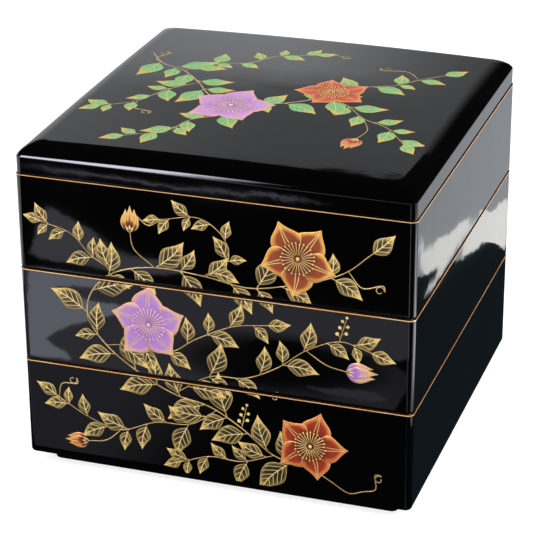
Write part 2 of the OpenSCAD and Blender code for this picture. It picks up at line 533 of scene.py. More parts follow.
@dataclass(frozen=True)
class LeafPaint:
    """Leaf in sprinkled powder over the ground, with a lighter midrib, side veins and margin.

    Widths are in millimetres, but vein_edge is in shares of the veins' pitch. Places along the
    leaf run from 0 at its stalk to 1. The powder is thickest on the margin and towards the tip,
    which takes the tip's colour from turn on.
    """

    name: str
    ground: Colour
    powder: Colour
    tip: Colour
    vein: Colour
    pitch: float = 3.4
    roughness: float = 0.45
    metallic: float = 0.3
    depth: float = 2.2
    turn: float = 0.45
    margin_cover: float = 0.55
    tip_cover: float = 0.35
    cloud_cover: float = 0.35
    dust_cover: float = 0.2
    bare: float = 0.1
    vein_slant: float = 1.25
    vein_edge: Point = (0.035, 0.11)
    vein_start: Point = (0.2, 0.7)
    vein_end: Point = (0.72, 0.86)
    midrib_edge: Point = (0.15, 0.34)
    midrib_end: Point = (0.86, 0.98)
    margin_edge: Point = (0.06, 0.26)
    vein_strength: float = 0.85
    margin_strength: float = 0.6
    cloud_scale: float = 260.0
    dust_scale: float = 2400.0
    dust_height: float = 0.4
    relief: float = 1.5e-5
    shine: float = 0.1

    def material(self) -> bpy.types.Material:
        """Makes the material, which reads the attributes that the brushwork leaves.

        Returns:
            The material.
        """
        recipe = Recipe(bpy.data.materials.new(self.name))
        across, along, rim = recipe.attribute("brush")
        _, reach, tone = recipe.attribute("spot")
        place = recipe.place()
        cloud = recipe.noise(place, self.cloud_scale, 2.0)
        dust = recipe.noise(place, self.dust_scale, 1.0)
        phase = ((along - abs(across) * self.vein_slant) / self.pitch).fraction()
        cover = rim.fall(0.0, self.depth) * self.margin_cover
        cover = cover + reach.rise(0.3, 1.0) * self.tip_cover
        cover = cover + cloud * self.cloud_cover + dust * self.dust_cover
        cover = (cover - self.bare) * tone
        shade = recipe.mix(cover.rise(0.05, 0.8), self.ground, self.powder)
        shade = recipe.mix((reach.rise(self.turn, 1.0) * cover).rise(0.08, 0.75), shade, self.tip)
        midrib = abs(across).fall(*self.midrib_edge) * reach.fall(*self.midrib_end)
        veins = abs(phase - 0.5).fall(*self.vein_edge) * rim.rise(*self.vein_start)
        veins = veins * reach.fall(*self.vein_end)
        lines = midrib + veins * self.vein_strength
        lines = lines + rim.fall(*self.margin_edge) * self.margin_strength
        drawn = lines.rise(0.0, 1.0)
        return recipe.finish(
            {
                "Base Color": recipe.mix(drawn, shade, self.vein),
                "Roughness": self.roughness - drawn * self.shine,
                "Metallic": drawn * self.metallic,
                "Normal": recipe.relief(self.relief, lines + dust * self.dust_height),
            }
        )


BLACK = Lacquer("polished_black", (0.0005, 0.0005, 0.0007, 1), (0.0015, 0.0015, 0.0018, 1), 0.04)
VERMILION = Lacquer(
    "polished_vermilion", (0.36, 0.024, 0.009, 1), (0.42, 0.036, 0.014, 1), 0.13, 4.0e-5
)
BASE_BLACK = Lacquer("base_black", (0.001, 0.001, 0.0012, 1), (0.003, 0.003, 0.0035, 1), 0.1)
LOWEST_MOUTH = 58.0
MOUTH_PITCH = 48.4
MOUTH_SLACK = 0.005
EDGE_GOLD = MouthGilding(
    "mouth_gilding",
    *tints("FFDEAA F4B26A"),
    roughness=0.3,
    metallic=0.3,
    # The lip's darker gold is partly painted shade; the near-black red-brown on its outer edge is
    # painted shade.
    lip=tint("DC9C54"),
    worn_and_shaded=tint("381004"),
    start=LOWEST_MOUTH + MOUTH_SLACK - MOUTH_PITCH,
    pitch=MOUTH_PITCH,
)
STEM_GOLD = Gilding("stem_gold", *tints("EBCB8C B8965A"), 0.38, 0.3)
POLLEN_GOLD = Gilding("pollen_gold", *tints("FBE394 E9C76E"), 0.4, 0.1)


class Paint(Enum):
    """Finishes of the painted sprays, in the order of their material slots."""

    STEM = STEM_GOLD
    LEAF = LeafPaint("gold_leafage", *tints("241C0E A08648 DEBC6C FFE29A"))
    AMBER = PetalPaint("amber_petals", *tints("5E1A0A 94421C E39C48 F8CE78 F8DA90"), margin=4.2)
    VIOLET = PetalPaint("violet_petals", *tints("A46CC4 B684CE E0A89C F2C08C EACB62"), margin=4.4)
    SCARLET = PetalPaint("scarlet_petals", *tints("580F06 9A3014 DC7A3C F4B672 F6CC84"), margin=4.2)
    CORAL = PetalPaint("coral_petals", *tints("98341A BE5430 DC7E4C EBA676 E8B670"), margin=3.4)
    ORCHID = PetalPaint("orchid_petals", *tints("9A66B0 BE8CC6 D69CB0 ECB08A E4B47C"), margin=3.6)
    GREEN = LeafPaint(
        "green_leafage",
        *tints("58AC74 90B86E C6AC54 DCB468"),
        pitch=3.8,
        roughness=0.5,
        metallic=0.12,
        turn=0.15,
    )
    POLLEN = POLLEN_GOLD


# ---------------------------------------------------------------- shapes


def arc(start: float, end: float, steps: int) -> list[float]:
    """Angles in radians from start to end degrees, both included."""
    return [math.radians(start + (end - start) * i / steps) for i in range(steps + 1)]


@dataclass(frozen=True)
class Ring:
    """A level square with rounded corners, in millimetres."""

    half: float
    radius: float
    height: float
    inside: bool = False


def rolled_foot(half: float, corner: float, edge: float, low: float, steps: int) -> list[Ring]:
    """Rings of a rounded lower edge.

    Args:
        half: Half width above the rounding.
        corner: Radius of the corners above the rounding.
        edge: Radius of the rounding.
        low: Height of the underside.
        steps: Steps of the rounding.

    Returns:
        The rings, from the underside to the upright side.
    """
    rings = []
    for angle in arc(0, 90, steps):
        inset = edge * (1 - math.sin(angle))
        rise = edge * (1 - math.cos(angle))
        rings.append(Ring(half - inset, corner - inset, low + rise))
    return rings


class Loft:
    """Surface carried from one ring to the next; every ring has the same number of points."""

    WELD = 1e-4
    SHARP = math.radians(35)
    FACE_WEIGHT = 100

    def __init__(self, corner_steps: int, side_steps: int = 1) -> None:
        """Starts with no rings.

        Args:
            corner_steps: Steps round each corner.
            side_steps: Steps along each side.
        """
        self.steps = corner_steps
        self.sides = side_steps
        self.bm = bmesh.new()
        self.ring: list[bmesh.types.BMVert] = []

    def _settle(self, ring: Ring) -> None:
        """Moves the points of the current ring to their places.

        Args:
            ring: Where they go.
        """
        reach = ring.half - ring.radius
        for index, vert in enumerate(self.ring):
            quadrant, step = divmod(index, self.steps + self.sides)
            angle = QUARTER * min(step / self.steps, 1)
            part = max(step - self.steps, 0) / self.sides
            spot = Vector((reach * (1 - 2 * part), reach, ring.height))
            spot.x += ring.radius * math.cos(angle)
            spot.y += ring.radius * math.sin(angle)
            vert.co = Matrix.Rotation(QUARTER * quadrant, 3, "Z") @ spot

    def _edges(self) -> list[bmesh.types.BMEdge]:
        """Edges of the current ring, in order."""
        pairs = zip(self.ring, self.ring[1:] + self.ring[:1])
        return [self.bm.edges.get(pair) for pair in pairs]

    def start(self, ring: Ring) -> None:
        """Lays the first ring.

        Args:
            ring: Its size and height.
        """
        count = 4 * (self.steps + self.sides)
        made = bmesh.ops.create_circle(self.bm, segments=count, radius=1.0)["verts"]
        self.ring = sorted(made, key=lambda v: math.atan2(v.co.y, v.co.x) % math.tau)
        self._settle(ring)

    def carry(self, ring: Ring) -> None:
        """Extrudes the current ring to the next one.

        Args:
            ring: The next one's size and height.
        """
        made = bmesh.ops.extrude_edge_only(self.bm, edges=self._edges())["geom"]
        fresh = {item for item in made if isinstance(item, bmesh.types.BMVert)}
        self.ring = [
            next(other for edge in vert.link_edges if (other := edge.other_vert(vert)) in fresh)
            for vert in self.ring
        ]
        for face in made:
            if isinstance(face, bmesh.types.BMFace):
                face.material_index = int(ring.inside)
        self._settle(ring)

    def cap(self, inside: bool) -> None:
        """Closes the current ring with a flat face."""
        for face in bmesh.ops.holes_fill(self.bm, edges=self._edges())["faces"]:
            face.material_index = int(inside)

    def close(self, rings: Sequence[Ring]) -> "Loft":
        """Carries the surface through all the rings and back to the first.

        Args:
            rings: The rings, in order.

        Returns:
            The loft itself.
        """
        self.start(rings[0])
        for ring in (*rings[1:], rings[0]):
            self.carry(ring)
        bmesh.ops.remove_doubles(self.bm, verts=self.bm.verts, dist=self.WELD)
        return self

    def piece(self, name: str, finishes: Sequence[Lacquer]) -> bpy.types.Object:
        """Makes the object, shaded smooth between its sharp edges.

        Args:
            name: The piece's name.
            finishes: Finishes for the outside and the inside.

        Returns:
            The object, in metres.
        """
        bmesh.ops.recalc_face_normals(self.bm, faces=self.bm.faces)
        bmesh.ops.scale(self.bm, vec=(MM, MM, MM), verts=self.bm.verts)
        piece = hang(self.bm, name, [coat(finish) for finish in finishes])
        piece.data.shade_smooth()
        piece.data.set_sharp_from_angle(angle=self.SHARP)
        weigh = piece.modifiers.new("even_gloss", "WEIGHTED_NORMAL")
        weigh.keep_sharp = True
        weigh.weight = self.FACE_WEIGHT
        return piece


def coat(finish: Any) -> bpy.types.Material:
    """A finish's material, made once."""
    return bpy.data.materials.get(finish.name) or finish.material()


def hang(
    bm: bmesh.types.BMesh, name: str, materials: Iterable[bpy.types.Material]
) -> bpy.types.Object:
    """Turns a finished bmesh into an object of the scene.

    Args:
        bm: The shape, in metres, which is freed.
        name: Name of the object and its mesh.
        materials: Materials, in the order of the faces' indices.

    Returns:
        The object, at the origin.
    """
    mesh = bpy.data.meshes.new(name)
    bm.to_mesh(mesh)
    bm.free()
    for material in materials:
        mesh.materials.append(material)
    piece = bpy.data.objects.new(name, mesh)
    bpy.context.scene.collection.objects.link(piece)
    return piece


def repaint(node: bpy.types.Object, finish: Any) -> None:
    """Gives a node of the construction model a finish.

    Args:
        node: The node's object.
        finish: The finish.
    """
    material = coat(finish)
    if not node.material_slots:
        node.data.materials.append(material)
    for slot in node.material_slots:
        slot.material = material
    log.info("%s: %s", node.name, finish.name)


def report(piece: bpy.types.Object) -> None:
    """Logs a finished piece."""
    log.info("%s: %d faces", piece.name, len(piece.data.polygons))


# ---------------------------------------------------------------- brushwork


def between(a: Any, b: Any, c: Any, d: Any, t: float) -> Any:
    """Number or vector at t between b and c, on the smooth curve through a, b, c and d."""
    bend = (2 * a - 5 * b + 4 * c - d) * t * t + (3 * b - a - 3 * c + d) * t**3
    return b + 0.5 * ((c - a) * t + bend)


class Line:
    """A smooth line through points, in millimetres, measured along its length."""

    SPAN_STEPS = 14

    def __init__(self, points: Sequence[Point]) -> None:
        """Runs the line.

        Args:
            points: The points that it runs through.
        """
        knots = [Vector(p) for p in points]
        knots = [2 * knots[0] - knots[1], *knots, 2 * knots[-1] - knots[-2]]
        self.dots = [knots[1]]
        for span in zip(knots, knots[1:], knots[2:], knots[3:]):
            for i in range(1, self.SPAN_STEPS + 1):
                self.dots.append(between(*span, i / self.SPAN_STEPS))
        self.marks = [0.0]
        for p, q in zip(self.dots, self.dots[1:]):
            self.marks.append(self.marks[-1] + (q - p).length)
        self.length = self.marks[-1]

    def at(self, part: float) -> tuple[Vector, Vector]:
        """Place on the line.

        Args:
            part: Share of the line's length, from 0 to 1.

        Returns:
            The point there, and the unit vector to the right of the line.
        """
        mark = part * self.length
        index = min(max(bisect_right(self.marks, mark) - 1, 0), len(self.dots) - 2)
        p, q = self.dots[index], self.dots[index + 1]
        run = (q - p).normalized()
        return p + run * (mark - self.marks[index]), Vector((run.y, -run.x))

    def angle(self, part: float) -> float:
        """Direction of the line at a share of its length, in degrees."""
        right = self.at(part)[1]
        return math.degrees(math.atan2(right.x, -right.y))


def swell(widths: Sequence[float], part: float) -> float:
    """Smoothly interpolates relative widths, evenly spaced from 0 to 1.

    Args:
        widths: The widths.
        part: Place between the first and the last.

    Returns:
        The width there, never below zero.
    """
    spot = min(part, NEARLY_ALL) * (len(widths) - 1)
    index = int(spot)
    b, c = widths[index], widths[index + 1]
    a = widths[index - 1] if index else 2 * b - c
    d = widths[index + 2] if index + 2 < len(widths) else 2 * c - b
    return max(between(a, b, c, d, spot - index), 0.0)


def polar(centre: Point, angle: float, reach: float) -> Point:
    """Point at an angle in degrees and a distance from a centre."""
    turn = math.radians(angle)
    return (centre[0] + reach * math.cos(turn), centre[1] + reach * math.sin(turn))


NEARLY_ALL = 0.9999
PETAL_SHAPE = (0.06, 0.34, 0.66, 0.9, 1.0, 0.96, 0.76, 0.46, 0.2, 0.0)
BUD_SHAPE = (0.3, 0.78, 1.0, 0.98, 0.8, 0.5, 0.22, 0.0)
LEAF_SHAPE = (0.1, 0.52, 0.84, 1.0, 0.97, 0.84, 0.62, 0.38, 0.17, 0.0)
STEM_SHAPE = (0.6, 0.96, 1.0, 0.9, 0.8, 0.7)
RAY_SHAPE = (0.6, 1.0, 0.8)


@dataclass(frozen=True)
class Panel:
    """A face that carries brushwork, and the window that the brushwork stays in."""

    origin: Place
    right: Place
    up: Place
    low: Point
    high: Point
    crown: float = 0.0

    def bend(self, bm: bmesh.types.BMesh) -> None:
        """Lets what lies on a crowned top fall away from the middle with it."""
        for vert in bm.verts:
            vert.co.z -= self.crown * vert.co.xy.length_squared

    def matrix(self) -> Matrix:
        """Matrix that lays brushwork on the face.

        Returns:
            It brings millimetres across, up and out of the face to metres in the frame.
        """
        right, up = Vector(self.right), Vector(self.up)
        turn = Matrix((right, up, right.cross(up))).transposed().to_4x4()
        return Matrix.Translation(self.origin) @ turn @ Matrix.Scale(MM, 4)

    def cuts(self) -> list[tuple[Place, Place]]:
        """Sides of the window.

        Returns:
            A point and the outward normal of each side, in the face's own axes.
        """
        (left, bottom), (right, top) = self.low, self.high
        return [
            ((left, 0, 0), (-1, 0, 0)),
            ((right, 0, 0), (1, 0, 0)),
            ((0, bottom, 0), (0, -1, 0)),
            ((0, top, 0), (0, 1, 0)),
        ]


class Brushwork:
    """Painted shapes as thin sheets, each a grid laid along a line.

    Lifts are heights over the lacquer and widths are half widths, in millimetres. Each kind
    of shape has its own lift, and stems and leaves that cross have a layer each, so that no
    two of them lie at one height. Shares are of a leaf's length or a blossom's radius.
    """

    THICKNESS = 0.1 * MM
    WELD = 1e-5
    STEM_LIFT, STEM_STEP, STEM_LAYERS = 0.008, 0.002, 9
    BERRY_STALK_LIFT = 0.02
    TENDRIL_LIFT = 0.024
    STALK_LIFT = 0.0275
    LEAF_LIFT, LEAF_STEP, LEAF_LAYERS = 0.042, 0.002, 7
    PETAL_LIFT, PETAL_STEP = 0.056, 0.004
    BERRY_LIFT = 0.06
    SEPAL_LIFT = 0.08
    RAY_LIFT = 0.084
    POLLEN_LIFT = 0.088
    STEM_WIDTH = 0.26
    FINE_WIDTH = 0.27
    STALK_SHARE = 0.16
    LEAF_FULLNESS = 0.29
    LEAF_REACH = 0.6
    PETALS = 5
    PETAL_WIDTH = 0.4
    SEPAL_WIDTH = 0.7
    RAYS = 26
    RAY_WIDTH = 0.15
    POLLEN_SIZE = 0.42
    BUD_PETALS = ((-24, 0.9), (24, 0.86), (0, 1.0))
    SEPAL_ANGLES = (-38, 0, 38)
    TENDRIL_BENDS = (-14, 12, 18)
    TENDRIL_BREAK = 0.55
    CURL_TURNS = 1.2
    CURL_STEPS = 8
    CURL_CLOSE = 0.62
    BERRY_PITCH = 1.9
    BERRY_LEAN = 52
    DOT_SIDES = 8

    def __init__(self) -> None:
        """Starts with nothing painted."""
        self.bm = bmesh.new()
        self.brush = self.bm.verts.layers.float_vector.new("brush")
        self.spot = self.bm.verts.layers.float_vector.new("spot")
        self.order = list(Paint)
        self.stems = 0
        self.laid: list[tuple[Vector, float, int]] = []

    def _paint(
        self, verts: Sequence[bmesh.types.BMVert], paint: Paint, smooth: bool
    ) -> None:
        """Gives a shape's faces their finish.

        Args:
            verts: The shape's points.
            paint: The finish.
            smooth: Whether its faces are shaded smooth.
        """
        for face in {face for vert in verts for face in vert.link_faces}:
            face.material_index = self.order.index(paint)
            face.smooth = smooth

    def sheet(
        self,
        points: Sequence[Point],
        half_width: float,
        shape: Sequence[float],
        paint: Paint,
        lift: float,
        tone: float = 1.0,
        grid: tuple[int, int] = (4, 16),
    ) -> Line:
        """Lays one sheet.

        Args:
            points: Points that its middle line runs through, in millimetres.
            half_width: Greatest half width.
            shape: Relative half widths along it.
            paint: Its finish.
            lift: Height over the lacquer.
            tone: Strength of the paint, which the finish reads.
            grid: Steps across and along.

        Returns:
            Its middle line.
        """
        line = Line(points)
        made = bmesh.ops.create_grid(
            self.bm, x_segments=grid[0], y_segments=grid[1], size=1.0
        )["verts"]
        for vert in made:
            side = vert.co.x
            part = (vert.co.y + 1) / 2
            centre, right = line.at(part)
            width = half_width * swell(shape, part)
            vert[self.brush] = (side * width, part * line.length, width * (1 - abs(side)))
            vert[self.spot] = (side, part, tone)
            flat = centre + right * side * width
            vert.co = (flat.x, flat.y, lift)
        self._paint(made, paint, True)
        return line

    def dot(self, centre: Point, radius: float, paint: Paint, lift: float) -> None:
        """Lays a small round dot.

        Args:
            centre: Its middle.
            radius: Its radius.
            paint: Its finish.
            lift: Height over the lacquer.
        """
        made = bmesh.ops.create_circle(
            self.bm, cap_ends=True, segments=self.DOT_SIDES, radius=radius
        )["verts"]
        bmesh.ops.translate(self.bm, verts=made, vec=(*centre, lift))
        self._paint(made, paint, False)

    def stem(self, points: Sequence[Point], half_width: float = STEM_WIDTH) -> Line:
        """Lays a stem that thins towards its end.

        Args:
            points: Points that it runs through.
            half_width: Greatest half width.

        Returns:
            Its middle line.
        """
        self.stems += 1
        lift = self.STEM_LIFT + self.STEM_STEP * (self.stems % self.STEM_LAYERS)
        grid = (2, 10 * (len(points) - 1))
        return self.sheet(points, half_width, STEM_SHAPE, Paint.STEM, lift, grid=grid)

    def free_layer(self, centre: Point, reach: float) -> int | None:
        """Finds the lowest leaf layer in which nothing near has been laid, and takes it.

        Args:
            centre: Middle of the leaf.
            reach: How far it reaches from there.

        Returns:
            The layer, or None if every layer is taken.
        """
        spot = Vector(centre)
        near = {layer for other, far, layer in self.laid if (other - spot).length < far + reach}
        for layer in range(self.LEAF_LAYERS):
            if layer not in near:
                self.laid.append((spot, reach, layer))
                return layer
        return None

    def leaf(
        self,
        base: Point,
        angle: float,
        length: float,
        paint: Paint,
        bend: float,
        tone: float,
    ) -> None:
        """Lays a leaf on a short stalk, where there is room for one.

        Args:
            base: Where its stalk leaves the stem.
            angle: Its direction, in degrees.
            length: Length of the blade.
            paint: Its finish.
            bend: How much its direction turns from base to tip, in degrees.
            tone: Strength of the gold on it.
        """
        neck = polar(base, angle - bend * 0.6, length * self.STALK_SHARE)
        middle = polar(neck, angle - bend * 0.25, length * 0.5)
        tip = polar(middle, angle + bend * 0.5, length * 0.5)
        layer = self.free_layer(middle, length * self.LEAF_REACH)
        if layer is None:
            return
        lift = self.STALK_LIFT + self.LEAF_STEP * layer
        self.sheet([base, neck], self.FINE_WIDTH, STEM_SHAPE, Paint.STEM, lift, grid=(2, 2))
        lift = self.LEAF_LIFT + self.LEAF_STEP * layer
        width = length * self.LEAF_FULLNESS
        self.sheet([neck, middle, tip], width, LEAF_SHAPE, paint, lift, tone, (8, 20))

    def blossom(self, centre: Point, radius: float, turn: float, paint: Paint) -> None:
        """Lays an open five-petalled star blossom with its rays and pollen.

        Args:
            centre: Its middle.
            radius: Distance from there to the petals' tips.
            turn: Direction of the first petal, in degrees.
            paint: Finish of the petals.
        """
        for i in range(self.PETALS):
            angle = turn + 360 * i / self.PETALS
            reach = radius * (1 + 0.04 * math.sin(3 * i + turn))
            points = [
                polar(centre, angle, 0.04 * radius),
                polar(centre, angle + 1.5, 0.55 * radius),
                polar(centre, angle + 4 * (-1) ** i, reach),
            ]
            lift = self.PETAL_LIFT + self.PETAL_STEP * i
            self.sheet(points, radius * self.PETAL_WIDTH, PETAL_SHAPE, paint, lift, grid=(8, 18))
        for i in range(self.RAYS):
            angle = turn + 360 * i / self.RAYS + 5
            reach = radius * (0.4 + 0.02 * math.sin(2.3 * i))
            ends = [polar(centre, angle, 0.1 * radius), polar(centre, angle, reach)]
            self.sheet(
                ends, self.RAY_WIDTH, RAY_SHAPE, Paint.POLLEN, self.RAY_LIFT, grid=(1, 2)
            )
            self.dot(ends[1], self.POLLEN_SIZE, Paint.POLLEN, self.POLLEN_LIFT)
        self.dot(centre, 0.05 * radius, Paint.POLLEN, self.POLLEN_LIFT)

    def bud(self, base: Point, angle: float, length: float, paint: Paint) -> None:
        """Lays a plump bud: two outer petals, one between them, and three gold sepals.

        Args:
            base: Where it sits on its stalk.
            angle: Its direction, in degrees.
            length: Its length.
            paint: Finish of its petals.
        """
        for i, (spread, share) in enumerate(self.BUD_PETALS):
            points = [
                base,
                polar(base, angle + spread, length * 0.45 * share),
                polar(base, angle + spread * 0.45, length * share),
            ]
            lift = self.PETAL_LIFT + self.PETAL_STEP * i
            self.sheet(points, length * 0.2, BUD_SHAPE, paint, lift, grid=(6, 14))
        root = polar(base, angle, -length * 0.05)
        for spread in self.SEPAL_ANGLES:
            ends = [root, polar(base, angle + spread, length * 0.26)]
            self.sheet(
                ends, self.SEPAL_WIDTH, LEAF_SHAPE, Paint.LEAF, self.SEPAL_LIFT, grid=(2, 6)
            )

    def tendril(self, start: Point, angle: float, length: float, curl: float) -> None:
        """Lays a fine stem that runs out and curls up.

        Args:
            start: Where it leaves.
            angle: Its first direction, in degrees.
            length: Length of its run before the curl.
            curl: Radius of the curl, positive to the left.
        """
        left = math.copysign(1, curl)
        first, second, heading = (angle + bend * left for bend in self.TENDRIL_BENDS)
        middle = polar(start, first, length * self.TENDRIL_BREAK)
        end = polar(middle, second, length * (1 - self.TENDRIL_BREAK))
        hub = polar(end, heading + 90 * left, abs(curl))
        points = [start, middle]
        steps = int(self.CURL_TURNS * self.CURL_STEPS)
        for i in range(steps + 1):
            share = i / steps
            turn = heading + abs(360 * self.CURL_TURNS * share - 90) * left
            points.append(polar(hub, turn, abs(curl) * (1 - self.CURL_CLOSE * share)))
        grid = (1, 6 * len(points))
        lift = self.TENDRIL_LIFT
        self.sheet(points, self.FINE_WIDTH, STEM_SHAPE, Paint.STEM, lift, grid=grid)

    def berries(self, start: Point, angle: float, count: int) -> None:
        """Lays a loose spike of small gold berries, each on its own short stalk.

        Args:
            start: Where the spike leaves.
            angle: Its direction, in degrees.
            count: Number of berries.
        """
        axis = self.stem([start, polar(start, angle, self.BERRY_PITCH * count)], 0.2)
        for i in range(count):
            base = axis.at((i + 1) / count)[0]
            lean = angle + (0 if i == count - 1 else self.BERRY_LEAN * (-1) ** i)
            end = polar((base.x, base.y), lean, 2.6 - 0.16 * i)
            lift = self.BERRY_STALK_LIFT
            self.sheet([base, end], 0.14, STEM_SHAPE, Paint.STEM, lift, grid=(1, 2))
            self.dot(end, 0.95 - 0.05 * i, Paint.POLLEN, self.BERRY_LIFT)

    def piece(self, name: str, panel: Panel) -> bpy.types.Object:
        """Trims the sheets to a panel's window and lays them on it.

        Args:
            name: The piece's name.
            panel: The face that carries them.

        Returns:
            The object.
        """
        bm = self.bm
        bmesh.ops.remove_doubles(bm, verts=bm.verts, dist=self.WELD)
        for point, normal in panel.cuts():
            geometry = [*bm.verts, *bm.edges, *bm.faces]
            bmesh.ops.bisect_plane(
                bm, geom=geometry, plane_co=point, plane_no=normal, clear_outer=True
            )
        loose = [vert for vert in bm.verts if not vert.link_faces]
        bmesh.ops.delete(bm, geom=loose, context="VERTS")
        bmesh.ops.transform(bm, matrix=panel.matrix(), verts=bm.verts)
        panel.bend(bm)
        piece = hang(bm, name, [coat(paint.value) for paint in self.order])
        body = piece.modifiers.new("body", "SOLIDIFY")
        body.thickness = self.THICKNESS
        body.offset = -1
        return piece


@dataclass(frozen=True)
class Sprig:
    """A stem with leaves on alternate sides, which grow smaller towards its end."""

    points: tuple[Point, ...]
    leaves: int
    length: float
    paint: Paint = Paint.LEAF
    width: float = Brushwork.STEM_WIDTH
    first: float = 0.08
    last: float = 0.93
    spread: float = 46.0
    bend: float = 16.0
    end_bend: float = 6.0

    def lay(self, work: Brushwork) -> None:
        """Lays the stem, a leaf at each node, a smaller one across from every third, and a last.

        Args:
            work: Brushwork that gets it.
        """
        line = work.stem(self.points, self.width)
        for i in range(self.leaves):
            part = self.first + (self.last - self.first) * i / max(self.leaves - 1, 1)
            side = 1 if i % 2 else -1
            base = line.at(part)[0]
            angle = line.angle(part) + side * (self.spread + 9 * math.sin(2.4 * i))
            size = self.length * (1.1 - 0.3 * part) * (1 + 0.14 * math.sin(1.7 * i + 0.6))
            tone = 0.85 + 0.2 * math.sin(2.9 * i + 1.0)
            bend = side * self.bend
            work.leaf((base.x, base.y), angle, size, self.paint, bend, tone)
            if i % 3 == 1:
                angle = line.angle(part) - side * (self.spread + 12)
                work.leaf((base.x, base.y), angle, size * 0.7, self.paint, -bend, tone)
        end, size = line.at(1.0)[0], self.length * 0.8
        work.leaf((end.x, end.y), line.angle(0.98), size, self.paint, self.end_bend, 1.0)


# ---------------------------------------------------------------- the box


class Body(Enum):
    """Bodies of the construction model, from the ground up."""

    BOTTOM = "bottom_tier"
    MIDDLE = "middle_tier"
    TOP = "top_tier"
    LID = "lid"


SIDES = ("front", "back", "left", "right")
SKIN = 0.1
CONTACT_GAP = 0.02
OUTER_HALF = 97.5


@dataclass
class Tier:
    """One tier: seamless lacquered walls, floor panel, base and gilt mouth, in millimetres."""

    body: Body
    nodes: dict[str, bpy.types.Object]
    wall: float = 8.0
    corner: float = 3.2
    inner_corner: float = 1.4
    lower_edge: float = 1.8
    mouth_edge: float = 0.12
    groove: float = 4.0
    groove_low: float = 4.0
    groove_high: float = 8.0
    groove_corner: float = 0.4
    base_half: float = 88.5
    base_corner: float = 3.5
    base_inner_corner: float = 1.0
    base_edge: float = 1.0
    base_inner_edge: float = 0.6
    base_width: float = 14.0
    spray_margin_side: float = 0.5
    spray_margin_low: float = 0.3
    prefix: str = field(init=False)
    low: float = field(init=False)
    high: float = field(init=False)

    def __post_init__(self) -> None:
        """Takes the tier's heights from its boards and its mouth edging."""
        self.prefix = self.body.value.removesuffix("_tier")
        self.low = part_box(f"{self.prefix}_front_board")[0].z / MM
        self.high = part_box(f"{self.prefix}_mouth_edging")[0].z / MM

    def wall_rings(self) -> list[Ring]:
        """Section of the walls.

        Returns:
            Its rings, from the lower outer edge over the mouth and the floor's groove, round
            to the underside.
        """
        outer = OUTER_HALF - SKIN
        inner = OUTER_HALF - self.wall
        housed = inner + self.groove
        groove_low = self.low + self.groove_low
        groove_high = self.low + self.groove_high
        low = self.low + CONTACT_GAP
        edge = self.mouth_edge
        return [
            *rolled_foot(outer, self.corner, self.lower_edge, low, 10),
            Ring(outer, self.corner, self.high - edge),
            Ring(outer - edge, self.corner - edge, self.high),
            Ring(inner, self.inner_corner, self.high, True),
            Ring(inner, self.inner_corner, groove_high, True),
            Ring(housed, self.groove_corner, groove_high, True),
            Ring(housed, self.groove_corner, groove_low),
            Ring(inner, self.inner_corner, groove_low),
            Ring(inner, self.inner_corner, low),
        ]

    def build_walls(self) -> bpy.types.Object:
        """Makes the lacquered walls, in place of the four boards.

        Returns:
            The walls.
        """
        loft = Loft(12).close(self.wall_rings())
        piece = loft.piece(f"{self.prefix}_lacquered_walls", (BLACK, VERMILION))
        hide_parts(*(f"{self.prefix}_{side}_board" for side in SIDES))
        return piece

    def build_base(self) -> bpy.types.Object:
        """Makes the base as one lacquered frame, in place of its four strips.

        Returns:
            The frame.
        """
        low, high = (corner.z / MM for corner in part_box(f"{self.prefix}_base_front_strip"))
        inner, edge = self.base_half - self.base_width, self.base_inner_edge
        rings = [
            *rolled_foot(self.base_half, self.base_corner, self.base_edge, low, 5),
            Ring(self.base_half, self.base_corner, high),
            Ring(inner, self.base_inner_corner, high),
            Ring(inner, self.base_inner_corner, low + edge),
            Ring(inner + edge, self.base_inner_corner + edge, low),
        ]
        loft = Loft(8).close(rings)
        piece = loft.piece(f"{self.prefix}_lacquered_base", (BASE_BLACK, BASE_BLACK))
        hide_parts(*(f"{self.prefix}_base_{side}_strip" for side in SIDES))
        return piece

    def dress(self) -> None:
        """Builds the new pieces, and gives the floor panel and the edging their finishes."""
        for piece in (self.build_walls(), self.build_base()):
            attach(piece, self.body.value)
            report(piece)
        middle = self.low + (self.groove_low + self.groove_high) / 2
        floor_lacquer = replace(
            VERMILION,
            name=f"{self.prefix}_floor_lacquer",
            under=BASE_BLACK.deep,
            under_z=middle * MM,
        )
        repaint(self.nodes[f"{self.prefix}_floor_panel"], floor_lacquer)
        repaint(self.nodes[f"{self.prefix}_mouth_edging"], EDGE_GOLD)

    def front_panel(self) -> Panel:
        """Flat of the tier's front.

        Returns:
            The face, with a window between its rounded edges.
        """
        side, low = self.spray_margin_side, self.spray_margin_low
        reach = OUTER_HALF - self.corner - side
        return Panel(
            origin=(0, -(OUTER_HALF - SKIN) * MM, 0),
            right=(1, 0, 0),
            up=(0, 0, 1),
            low=(-reach, self.low + self.lower_edge + low),
            high=(reach, self.high - side),
        )


